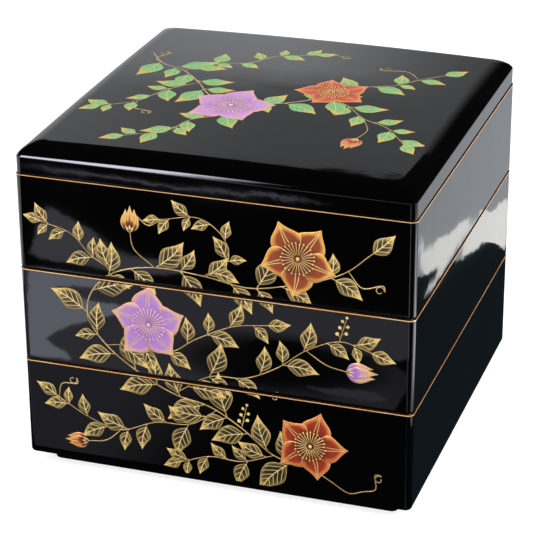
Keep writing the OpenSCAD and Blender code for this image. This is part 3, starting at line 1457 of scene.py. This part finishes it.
@dataclass
class Lid:
    """The lid: a seamless cover with rolled edges, and its locating frame, in millimetres."""

    half: float = 97.1
    height: float = 17.0
    crown: float = 1.6
    crown_steps: int = 10
    side_height: float = 8.7
    roll_width: float = 10.5
    crest: float = 2.0
    corner: float = 3.0
    hip: float = 6.0
    lower_edge: float = 0.8
    hollow_half: float = 88.5
    hollow_height: float = 6.5
    hollow_corner: float = 1.2
    hollow_edge: float = 0.3
    strip: float = 6.0
    strip_gap: float = 0.05
    strip_corner: float = 2.0
    strip_inner_corner: float = 0.8
    strip_edge: float = 0.5
    strip_edge_corner: float = 1.0
    spray_margin: float = 0.4
    spray_lift: float = 0.012
    low: float = field(init=False)

    def __post_init__(self) -> None:
        """Takes the lid's height from its front rail."""
        self.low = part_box("lid_front_rail")[0].z / MM

    def roll(self) -> list[Point]:
        """Section of the rolled edge.

        Returns:
            Depth in from the sides and height over the mouth, from the sides to the flat.
        """
        drop = self.height - self.side_height
        radius = (self.roll_width**2 + drop**2) / (2 * drop)
        centre = self.height - radius
        run = self.roll_width - self.crest
        rise = math.sqrt((radius - self.crest) ** 2 - run**2)
        turn = math.degrees(math.atan2(rise, run))
        section = [
            (self.crest * (1 - math.cos(a)), centre + rise + self.crest * math.sin(a))
            for a in arc(0, turn, 8)
        ]
        section += [
            (self.roll_width - radius * math.cos(a), centre + radius * math.sin(a))
            for a in arc(turn, 90, 26)[1:]
        ]
        return section

    def crowned(self, spot: Vector, shoulder: float) -> float:
        """Height of a point of the cover once its top is crowned.

        Args:
            spot: The point, as it is on a lid with a flat top.
            shoulder: Height at which the upright sides end.

        Returns:
            Its height, lower towards the corners; the upright sides keep theirs.
        """
        rise = self.low + self.height - shoulder
        fall = self.crown * spot.xy.length_squared / self.half**2
        return max(spot.z - shoulder, 0) * (1 - fall / rise) + min(spot.z, shoulder)

    def cover_rings(self) -> list[Ring]:
        """Section of the cover.

        Returns:
            Its rings, from the ceiling of its hollow round the lower edge to its top.
        """
        half, low, edge = self.half - SKIN / 2, self.low + CONTACT_GAP, self.hollow_edge
        rings = [
            Ring(self.hollow_half, self.hollow_corner, self.low + self.hollow_height, True),
            Ring(self.hollow_half, self.hollow_corner, self.low + edge, True),
            Ring(self.hollow_half + edge, self.hollow_corner + edge, low),
            *rolled_foot(half, self.corner, self.lower_edge, low, 6),
        ]
        for depth, rise in self.roll():
            share = depth / self.roll_width
            radius = self.corner + (self.hip - self.corner) * share
            rings.append(Ring(half - depth, radius, self.low + rise - SKIN * share))
        rim = rings[-1]
        for i in range(1, self.crown_steps):
            share = 1 - i / self.crown_steps
            rings.append(Ring(rim.half * share, rim.radius * share, rim.height))
        return rings

    def build_cover(self) -> bpy.types.Object:
        """Makes the lacquered cover, in place of the panel and the rails.

        Returns:
            The cover.
        """
        rings = self.cover_rings()
        loft = Loft(16, 12)
        loft.start(rings[0])
        loft.cap(True)
        for ring in rings[1:]:
            loft.carry(ring)
        loft.cap(False)
        shoulder = self.low + self.roll()[0][1]
        for vert in loft.bm.verts:
            vert.co.z = self.crowned(vert.co, shoulder)
        piece = loft.piece("lid_lacquered_cover", (BLACK, VERMILION))
        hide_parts("lid_panel", *(f"lid_{side}_rail" for side in SIDES))
        return piece

    def build_frame(self) -> bpy.types.Object:
        """Makes the locating frame, in place of its four strips.

        Returns:
            The frame.
        """
        low, high = (corner.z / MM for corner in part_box("lid_front_locating_strip"))
        outer = self.hollow_half - self.strip_gap
        inner = self.hollow_half - self.strip
        rings = [
            *rolled_foot(outer, self.strip_corner, self.lower_edge, low, 4),
            Ring(outer, self.strip_corner, high),
            Ring(inner, self.strip_inner_corner, high, True),
            Ring(inner, self.strip_inner_corner, low + self.strip_edge, True),
            Ring(inner + self.strip_edge, self.strip_edge_corner, low, True),
        ]
        loft = Loft(6).close(rings)
        piece = loft.piece("lid_locating_frame", (BASE_BLACK, VERMILION))
        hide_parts(*(f"lid_{side}_locating_strip" for side in SIDES))
        return piece

    def dress(self) -> None:
        """Builds the lid's pieces."""
        for piece in (self.build_cover(), self.build_frame()):
            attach(piece, Body.LID.value)
            report(piece)

    def top_panel(self) -> Panel:
        """The lid's crowned top.

        Returns:
            The face, with a window inside its rolled edges.
        """
        reach = self.half - self.roll_width - self.spray_margin
        return Panel(
            origin=(0, 0, (self.low + self.height - SKIN + self.spray_lift) * MM),
            right=(1, 0, 0),
            up=(0, 1, 0),
            low=(-reach, -reach),
            high=(reach, reach),
            crown=self.crown / self.half**2 / MM,
        )


# ---------------------------------------------------------------- painted sprays


class Sprays:
    """The painted decoration: a vine in an S over the three fronts, and a garland on the lid."""

    def front(self) -> Brushwork:
        """Paints the whole front; each tier keeps what lies in its own window.

        Returns:
            The brushwork, in millimetres across and up.
        """
        work = Brushwork()
        vine = (
            (74, 14), (67, 12), (58, 17), (48, 22), (30, 26), (14, 38), (-2, 47), (-20, 51),
            (-38, 60), (-54, 72), (-63, 86), (-60, 100), (-48, 111), (-28, 116), (-4, 115),
            (18, 112), (38, 116), (54, 121), (66, 127), (76, 136),
        )
        low_branch = ((2, 46), (-12, 36), (-30, 34), (-48, 27), (-64, 31), (-80, 40))
        fallen_branch = ((30, 26), (14, 20), (-2, 20), (-16, 15))
        high_branch = ((-20, 51), (-2, 63), (16, 65), (32, 73), (46, 84), (62, 91), (76, 88))
        inner_branch = ((-54, 72), (-40, 74), (-22, 73), (-8, 82), (10, 91), (26, 94))
        left_branch = ((-48, 111), (-60, 118), (-70, 128), (-84, 132))
        top_branch = ((-4, 115), (8, 124), (6, 136), (-6, 144), (-24, 141))
        for sprig in (
            Sprig(vine, 23, 18.0, width=0.34, spread=50),
            Sprig(low_branch, 8, 14.5),
            Sprig(fallen_branch, 5, 12.0),
            Sprig(high_branch, 8, 15.0),
            Sprig(inner_branch, 7, 14.0),
            Sprig(left_branch, 5, 11.5, width=0.22),
            Sprig(top_branch, 6, 10.5, width=0.22),
        ):
            sprig.lay(work)
        for centre, radius, turn, paint in (
            ((48, 34), 18.5, 70, Paint.SCARLET),
            ((-32, 86), 20.0, 18, Paint.VIOLET),
            ((42, 130), 19.5, 50, Paint.AMBER),
        ):
            work.blossom(centre, radius, turn, paint)
        for stalk, angle, length, paint in (
            (((46, 84), (56, 78), (66, 76)), 4, 15, Paint.VIOLET),
            (((-48, 27), (-56, 20), (-66, 18)), 184, 12, Paint.SCARLET),
            (((-28, 116), (-38, 124), (-40, 133)), 88, 13, Paint.AMBER),
        ):
            work.stem(stalk)
            work.bud(stalk[-1], angle, length, paint)
        work.berries((62, 91), 74, 6)
        work.berries((14, 38), 78, 6)
        for start, angle, length, curl in (
            ((66, 127), -34, 18, 2.8),
            ((-80, 40), 62, 14, -2.6),
            ((16, 65), -34, 18, 2.8),
            ((74, 14), 34, 12, 2.6),
            ((-24, 141), 196, 14, -2.4),
        ):
            work.tendril(start, angle, length, curl)
        return work

    def lid(self) -> Brushwork:
        """Paints the garland on the lid.

        Returns:
            The brushwork, in millimetres across and back.
        """
        work = Brushwork()
        vine = (
            (-82, 44), (-70, 28), (-56, 20), (-42, 4), (-30, -12), (-12, -18), (8, -12),
            (24, 2), (36, 20), (52, 30), (61, 42), (70, 52),
        )
        left_branch = ((-42, 4), (-54, -10), (-62, -28), (-76, -38))
        near_branch = ((-12, -18), (-14, -34), (-28, -46), (-34, -62), (-50, -72))
        right_branch = ((24, 2), (38, -6), (50, -20), (64, -28), (76, -44))
        far_branch = ((-56, 20), (-44, 34), (-28, 40), (-18, 54), (0, 62))
        green = Paint.GREEN
        for sprig in (
            Sprig(vine, 15, 17.5, green, width=0.36, spread=52),
            Sprig(left_branch, 5, 14.0, green),
            Sprig(near_branch, 7, 15.0, green),
            Sprig(right_branch, 6, 15.0, green),
            Sprig(far_branch, 6, 13.0, green),
        ):
            sprig.lay(work)
        work.blossom((-16, -22), 22.5, 12, Paint.ORCHID)
        work.blossom((26, 10), 19.0, 40, Paint.CORAL)
        work.stem([(50, -20), (56, -34), (54, -46)])
        work.bud((54, -46), -98, 14, Paint.CORAL)
        for start, angle, length, curl in (
            ((-70, 28), 118, 18, -3.2),
            ((61, 42), 146, 24, 3.4),
            ((-62, -28), -64, 18, 2.8),
            ((0, 62), 16, 18, -3.0),
        ):
            work.tendril(start, angle, length, curl)
        return work

    def lay(self, tiers: Sequence[Tier], lid: Lid) -> None:
        """Lays the sprays on the tiers and the lid.

        Args:
            tiers: The tiers, which carry the front.
            lid: The lid, which carries the garland.
        """
        for tier in tiers:
            piece = self.front().piece(f"{tier.prefix}_painted_spray", tier.front_panel())
            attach(piece, tier.body.value)
            report(piece)
        piece = self.lid().piece("lid_painted_garland", lid.top_panel())
        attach(piece, Body.LID.value)
        report(piece)


# ---------------------------------------------------------------- studio


WHITE_LIGHT: Colour = (1.0, 1.0, 1.0, 1.0)
STEEL_LIGHT: Colour = (0.93, 0.94, 1.1, 1.0)
COOL_LIGHT: Colour = (0.94, 0.96, 1.0, 1.0)
PALE_LIGHT: Colour = (0.895, 0.94, 1.0, 1.0)
BLUE_LIGHT: Colour = (0.87, 0.94, 1.1, 1.0)
WARM_LIGHT: Colour = (1.0, 1.0, 0.97, 1.0)
TEAL_LIGHT: Colour = (0.6, 0.95, 1.15, 1.0)
BLACK_FLAG = 0.012
SHEET = 0.0001


class Facing(Enum):
    """Ways that a studio card may lie: the axes that it spreads along."""

    FLAT = (0, 1)
    UPRIGHT = (0, 2)


def shine(recipe: Recipe, mask: Wire, strength: Any, colour: Colour) -> bpy.types.Material:
    """Makes a light that only its mask shows.

    Args:
        recipe: Recipe of its material.
        mask: 1 where it shines and 0 where it is clear.
        strength: Its radiance.
        colour: Its colour.

    Returns:
        The material.
    """
    glow = recipe.node("ShaderNodeEmission", {}, {"Color": colour, "Strength": strength})
    clear = recipe.node("ShaderNodeBsdfTransparent")
    material = recipe.surface(recipe.node("ShaderNodeMixShader", {}, {0: mask, 1: clear, 2: glow}))
    material.cycles.emission_sampling = "NONE"
    return material


def stand(bm: bmesh.types.BMesh, name: str, material: bpy.types.Material) -> bpy.types.Object:
    """Stands a studio sheet up so that it is seen only in reflections.

    Args:
        bm: Its mesh.
        name: Its name.
        material: Its light.

    Returns:
        The object.
    """
    sheet = hang(bm, name, [material])
    sheet.visible_camera = False
    sheet.visible_diffuse = False
    sheet.visible_transmission = False
    sheet.visible_shadow = False
    return sheet


@dataclass(frozen=True)
class Pane:
    """A many-sided light or shade that lies on the floor, with a soft ragged edge.

    Its outline is in millimetres, and the rest in metres.
    """

    name: str
    outline: tuple[Point, ...]
    height: float
    radiance: float
    soft: float
    ragged: float
    colour: Colour = WHITE_LIGHT
    fray_scale: float = 160.0

    def material(self) -> bpy.types.Material:
        """Makes the pane's light.

        Returns:
            Emission that reads how far in from the edge a place lies.
        """
        recipe = Recipe(bpy.data.materials.new(self.name))
        inward = recipe.attribute("inward")[0]
        fray = (recipe.noise(recipe.place(), self.fray_scale, 4.0) - 0.5) * self.ragged
        return shine(recipe, (inward + fray).rise(0.15, 0.85), self.radiance, self.colour)

    def build(self) -> bpy.types.Object:
        """Makes the pane.

        Returns:
            The pane.
        """
        bm = bmesh.new()
        inward = bm.verts.layers.float_vector.new("inward")
        corners = [bm.verts.new((x * MM, y * MM, self.height)) for x, y in self.outline]
        face = bm.faces.new(corners)
        bmesh.ops.inset_region(bm, faces=[face], thickness=self.soft, use_even_offset=True)
        for vert in face.verts:
            vert[inward] = (1.0, 0.0, 0.0)
        return stand(bm, self.name, self.material())


@dataclass(frozen=True)
class Fade:
    """A change of radiance along an axis, which starts at one place and ends at another."""

    radiance: float
    low: float
    high: float
    axis: int = 2


@dataclass(frozen=True)
class Card:
    """A soft-edged card that is seen only in reflections, in metres.

    Its soft edges are shares of its half sizes.
    """

    name: str
    facing: Facing
    centre: Place
    half: Point
    radiance: float
    soft: Point
    fade: Fade | None = None
    round: bool = False
    colour: Colour = WHITE_LIGHT

    def material(self) -> bpy.types.Material:
        """Makes the card's light.

        Returns:
            Emission inside the card's outline, which fades to nothing at its edge.
        """
        recipe = Recipe(bpy.data.materials.new(self.name))
        axes = recipe.split(recipe.place())
        across, up = (
            (axes[index] - self.centre[index]) / half
            for index, half in zip(self.facing.value, self.half)
        )
        if self.round:
            mask = (across * across + up * up).fall((1 - self.soft[0]) ** 2, 1.0)
        else:
            mask = abs(across).fall(1 - self.soft[0], 1.0) * abs(up).fall(1 - self.soft[1], 1.0)
        strength: Any = self.radiance
        if self.fade:
            share = axes[self.fade.axis].rise(self.fade.low, self.fade.high)
            strength = share * (self.fade.radiance - self.radiance) + self.radiance
        return shine(recipe, mask, strength, self.colour)

    def build(self) -> bpy.types.Object:
        """Makes the card.

        Returns:
            The card.
        """
        bm = bmesh.new()
        bmesh.ops.create_grid(bm, x_segments=1, y_segments=1, size=1.0)
        for vert in bm.verts:
            spot = Vector(self.centre)
            for index, side, half in zip(self.facing.value, vert.co, self.half):
                spot[index] += side * half
            vert.co = spot
        return stand(bm, self.name, self.material())


@dataclass(frozen=True)
class Lamp:
    """A soft square lamp that aims at the box, in metres and watts."""

    name: str
    place: Place
    power: float
    size: float = 1.2
    aim: Place = (0, 0, 0.08)

    def build(self) -> None:
        """Hangs the lamp."""
        data = bpy.data.lights.new(self.name, "AREA")
        data.shape = "SQUARE"
        data.size = self.size
        data.energy = self.power
        lamp = bpy.data.objects.new(self.name, data)
        ray = Vector(self.aim) - Vector(self.place)
        turn = ray.to_track_quat("-Z", "Y").to_matrix().to_4x4()
        lamp.matrix_world = Matrix.Translation(self.place) @ turn
        lamp.visible_glossy = False
        bpy.context.scene.collection.objects.link(lamp)


@dataclass
class Studio:
    """Camera, pale floor, soft lamps, white surroundings and the cards round the box."""

    eye: Place = (0.323, -0.97233, 0.54176)
    forward: Place = (-0.29199075, 0.86316022, -0.41194153)
    right: Place = (0.9482305, 0.31750953, -0.00682849)
    lens: float = 149.705
    sensor: float = 36.0
    nearest: float = 0.01
    farthest: float = 100.0
    floor_half: float = 9.0
    floor_gap: float = 5.0e-5
    floor_tone: float = 0.5
    floor_grain: float = 0.02
    floor_lift: float = 0.78
    ambient: float = 0.62
    lamps: tuple[Lamp, ...] = (
        Lamp("key_lamp", (-0.9, -1.1, 1.5), 14.0),
        Lamp("fill_lamp", (1.3, -0.7, 1.1), 25.0),
        Lamp("back_lamp", (0.2, 1.3, 1.2), 7.0),
    )

    def camera(self) -> None:
        """Sets the camera up."""
        data = bpy.data.cameras.new("camera")
        data.sensor_fit = "HORIZONTAL"
        data.sensor_width = self.sensor
        data.lens = self.lens
        data.clip_start = self.nearest
        data.clip_end = self.farthest
        camera = bpy.data.objects.new("camera", data)
        right, forward = Vector(self.right), Vector(self.forward)
        turn = Matrix((right, right.cross(forward), -forward)).transposed().to_4x4()
        camera.matrix_world = Matrix.Translation(self.eye) @ turn
        bpy.context.scene.collection.objects.link(camera)
        bpy.context.scene.camera = camera

    def _plain_rays(self, recipe: Recipe) -> Wire:
        """Tells the rays that see a background.

        Args:
            recipe: Recipe of the material or world.

        Returns:
            1 for camera, glossy and transmission rays, 0 for the others.
        """
        camera, glossy, transmission = (
            recipe.node("ShaderNodeLightPath", output=f"Is {name} Ray")
            for name in ("Camera", "Glossy", "Transmission")
        )
        return (camera + glossy + transmission).rise(0.0, 1.0)

    def surroundings(self) -> None:
        """Makes the world white to the eye and even to matt surfaces."""
        world = bpy.data.worlds.new("studio")
        bpy.context.scene.world = world
        recipe = Recipe(world)
        strength = self._plain_rays(recipe) * (1 - self.ambient) + self.ambient
        sockets = {"Color": WHITE_LIGHT, "Strength": strength}
        recipe.surface(recipe.node("ShaderNodeBackground", {}, sockets))

    def floor(self) -> None:
        """Lays the pale floor, which keeps the box's shadow."""
        recipe = Recipe(bpy.data.materials.new("pale_floor"))
        tone = self.floor_tone
        grain = recipe.noise(recipe.place(), 3.0) * self.floor_grain + (1 - self.floor_grain)
        colour = recipe.mix(grain, (0, 0, 0, 1), (tone, tone, tone, 1))
        matt = recipe.node("ShaderNodeBsdfDiffuse", {}, {"Color": colour})
        lift = self._plain_rays(recipe) * self.floor_lift
        glow = recipe.node("ShaderNodeEmission", {}, {"Strength": lift})
        material = recipe.surface(recipe.node("ShaderNodeAddShader", {}, {0: matt, 1: glow}))
        bm = bmesh.new()
        bmesh.ops.create_grid(bm, x_segments=1, y_segments=1, size=self.floor_half)
        bmesh.ops.translate(bm, verts=bm.verts, vec=(0, 0, -self.floor_gap))
        hang(bm, "studio_floor", [material])

    def cards_behind(self) -> list[Card]:
        """Cards overhead and behind: black above a pale sweep, which the lid's top reflects.

        Returns:
            The cards.
        """
        flat, upright = Facing.FLAT, Facing.UPRIGHT
        dark, cool = BLACK_FLAG, COOL_LIGHT
        return [
            Card("flag_overhead", flat, (0, 0.4, 1.6), (3.0, 2.6), dark, (0.05, 0.05)),
            Card("flag_high_back", upright, (0, 0.91, 1.165), (2.6, 0.505), dark, (0.002, 0.002)),
            Card("flag_right_back", upright, (0.65, 0.906, 0.81), (1.05, 0.81), dark, (0.01, 0.0)),
            Card(
                "glow_left_back", upright, (-1.775, 0.894, 0.33), (0.825, 0.33), 1.0, (0.004, 0.004)
            ),
            Card(
                "sweep_left",
                upright,
                (-1.44, 0.90, 0.33),
                (1.16, 0.33),
                0.64,
                (0.276, 0.004),
                Fade(0.56, 0.45, 0.60),
                colour=cool,
            ),
            Card(
                "sweep_low",
                upright,
                (-1.34, 0.9015, 0.265),
                (1.26, 0.265),
                0.88,
                (0.175, 0.32),
                colour=cool,
            ),
            Card(
                "sweep_back",
                upright,
                (-1.175, 0.903, 0.33),
                (1.425, 0.33),
                0.33,
                (0.281, 0.004),
                Fade(0.36, 0.49, 0.53),
                colour=cool,
            ),
        ]

    def cards_in_front(self) -> list[Card]:
        """Cards in front and to the right.

        Returns:
            The strip that lights the lid's crest, on a dark ground, then the cards on the floor
            that each tier's front reflects, then those that the right sides reflect.
        """
        flat, upright = Facing.FLAT, Facing.UPRIGHT
        dark, steel = BLACK_FLAG, STEEL_LIGHT
        return [
            Card("flag_front_wall", upright, (0.2, -1.66, 1.2), (1.9, 1.35), dark, (0.02, 0.02)),
            Card(
                "strip_crest",
                upright,
                (-0.82, -1.6, 0.86),
                (0.34, 0.36),
                17.0,
                (0.55, 0.1),
                colour=steel,
            ),
            Card(
                "flag_front",
                flat,
                (-0.105, -0.2775, 4 * SHEET),
                (0.205, 0.2275),
                dark,
                (0.03, 0.03),
            ),
            Card(
                "fill_bottom",
                flat,
                (-0.16, -0.158, 6 * SHEET),
                (0.15, 0.0445),
                0.31,
                (0.5, 0.02),
                colour=steel,
            ),
            Card(
                "fill_middle",
                flat,
                (-0.08, -0.2578, 6 * SHEET),
                (0.20, 0.0543),
                0.55,
                (0.02, 0.02),
                colour=steel,
            ),
            Card(
                "shade_middle",
                flat,
                (-0.012, -0.238, 8 * SHEET),
                (0.072, 0.042),
                0.03,
                (0.6, 0.6),
                round=True,
            ),
            Card(
                "band_lid",
                flat,
                (-0.16, -0.4535, 6 * SHEET),
                (0.115, 0.0036),
                1.5,
                (0.4, 0.6),
                colour=steel,
            ),
            Card(
                "fill_right",
                flat,
                (0.36, 0.53, 2 * SHEET),
                (0.32, 0.65),
                0.79,
                (0.1, 0.1),
                colour=PALE_LIGHT,
            ),
            Card("flag_corner", flat, (0.80, -0.74, 3 * SHEET), (0.66, 0.60), dark, (0.02, 0.02)),
            Card(
                "strip_corner",
                flat,
                (0.33, -0.01, 6 * SHEET),
                (0.13, 0.09),
                4.4,
                (0.35, 0.35),
                colour=steel,
            ),
        ]

    def panes_in_front(self) -> list[Pane]:
        """Glow, shades and window on the floor in front.

        Returns:
            The panes.
        """
        return [
            Pane(
                "glow_top",
                (
                    (-224, -390), (-223, -399), (-219, -401), (-211, -397), (-197, -387),
                    (-181, -375), (-168, -364), (-155, -351), (-144, -348), (-130, -346),
                    (-105, -342), (-105, -329), (-122, -325), (-156, -323), (-179, -325),
                    (-194, -327), (-203, -333), (-216, -372),
                ),
                height=6 * SHEET,
                radiance=0.9,
                soft=0.0075,
                ragged=0.8,
                colour=STEEL_LIGHT,
            ),
            Pane(
                "shade_low_right",
                (
                    (-36, -261), (-14, -266), (-2, -263), (5, -257), (23, -263), (38, -259),
                    (48, -260), (57, -271), (64, -262), (80, -228), (84, -196), (-40, -196),
                ),
                height=8 * SHEET,
                radiance=0.015,
                soft=0.003,
                ragged=0.8,
            ),
            Pane(
                "window_middle",
                (
                    (-193, -309), (-173, -311), (-151, -310), (-137, -304), (-143, -299),
                    (-158, -297), (-168, -292), (-155, -284), (-141, -281), (-126, -281),
                    (-117, -277), (-122, -266), (-129, -257), (-137, -249), (-143, -236),
                    (-147, -227), (-139, -221), (-129, -215), (-122, -207), (-147, -206),
                ),
                height=10 * SHEET,
                radiance=2.55,
                soft=0.0035,
                ragged=0.6,
                colour=BLUE_LIGHT,
            ),
            Pane(
                "patch_right",
                ((8, -214), (28, -219), (44, -220), (55, -213), (47, -209.5), (30, -210)),
                height=12 * SHEET,
                radiance=0.55,
                soft=0.002,
                ragged=0.4,
                colour=STEEL_LIGHT,
            ),
        ]

    def panes_on_the_right(self) -> list[Pane]:
        """Shade and windows on the floor to the right.

        Returns:
            The panes.
        """
        return [
            Pane(
                "flag_right",
                (
                    (68, -265), (192, -265), (192, 150), (165, 176), (160, 184), (152, 200),
                    (146, 214), (142, 226), (140, 238), (133, 239), (126, 233), (68, 232),
                ),
                height=4 * SHEET,
                radiance=0.026,
                soft=0.002,
                ragged=0.3,
                colour=TEAL_LIGHT,
            ),
            Pane(
                "window_right_low",
                (
                    (154, 251), (154, 286), (151, 284), (148, 281), (146, 288), (145.5, 298),
                    (144, 309), (141, 301), (129, 245), (126.5, 226), (130, 232.5), (134, 236),
                    (140.5, 236), (142.5, 226), (145.5, 217), (147, 211), (147.3, 203.5),
                    (150.5, 218.5), (152.6, 231),
                ),
                height=6 * SHEET,
                radiance=1.95,
                soft=0.0008,
                ragged=0.5,
                colour=WARM_LIGHT,
            ),
            Pane(
                "window_right_high",
                (
                    (181.5, 236), (177, 224), (170.7, 208), (170.3, 223), (169, 231.5),
                    (165, 240.5), (162.6, 251.5), (160.6, 261.5), (158.2, 271.5), (154.5, 256),
                    (154.3, 237), (153.8, 213), (153.7, 190), (153.8, 167), (154, 144),
                    (155.4, 160), (155.9, 176), (156.6, 186), (159, 194.5), (160, 186.5),
                    (162, 179.5), (163.6, 179), (166.5, 185.5), (171, 199), (176.7, 216),
                ),
                height=8 * SHEET,
                radiance=1.95,
                soft=0.0006,
                ragged=0.5,
                colour=WARM_LIGHT,
            ),
        ]

    def build(self) -> None:
        """Builds the whole studio."""
        self.camera()
        self.surroundings()
        self.floor()
        cards = (*self.cards_behind(), *self.cards_in_front())
        panes = (*self.panes_in_front(), *self.panes_on_the_right())
        for item in (*self.lamps, *cards, *panes):
            item.build()


def main() -> None:
    """Builds the box on its construction model, then the studio."""
    logging.basicConfig(level=logging.INFO, format="%(name)s: %(message)s")
    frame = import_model()
    bpy.context.scene.view_settings.view_transform = "Standard"
    tiers = [Tier(body, frame["nodes"]) for body in (Body.BOTTOM, Body.MIDDLE, Body.TOP)]
    for tier in tiers:
        tier.dress()
    lid = Lid()
    lid.dress()
    Sprays().lay(tiers, lid)
    Studio().build()


if __name__ == "__main__":
    main()
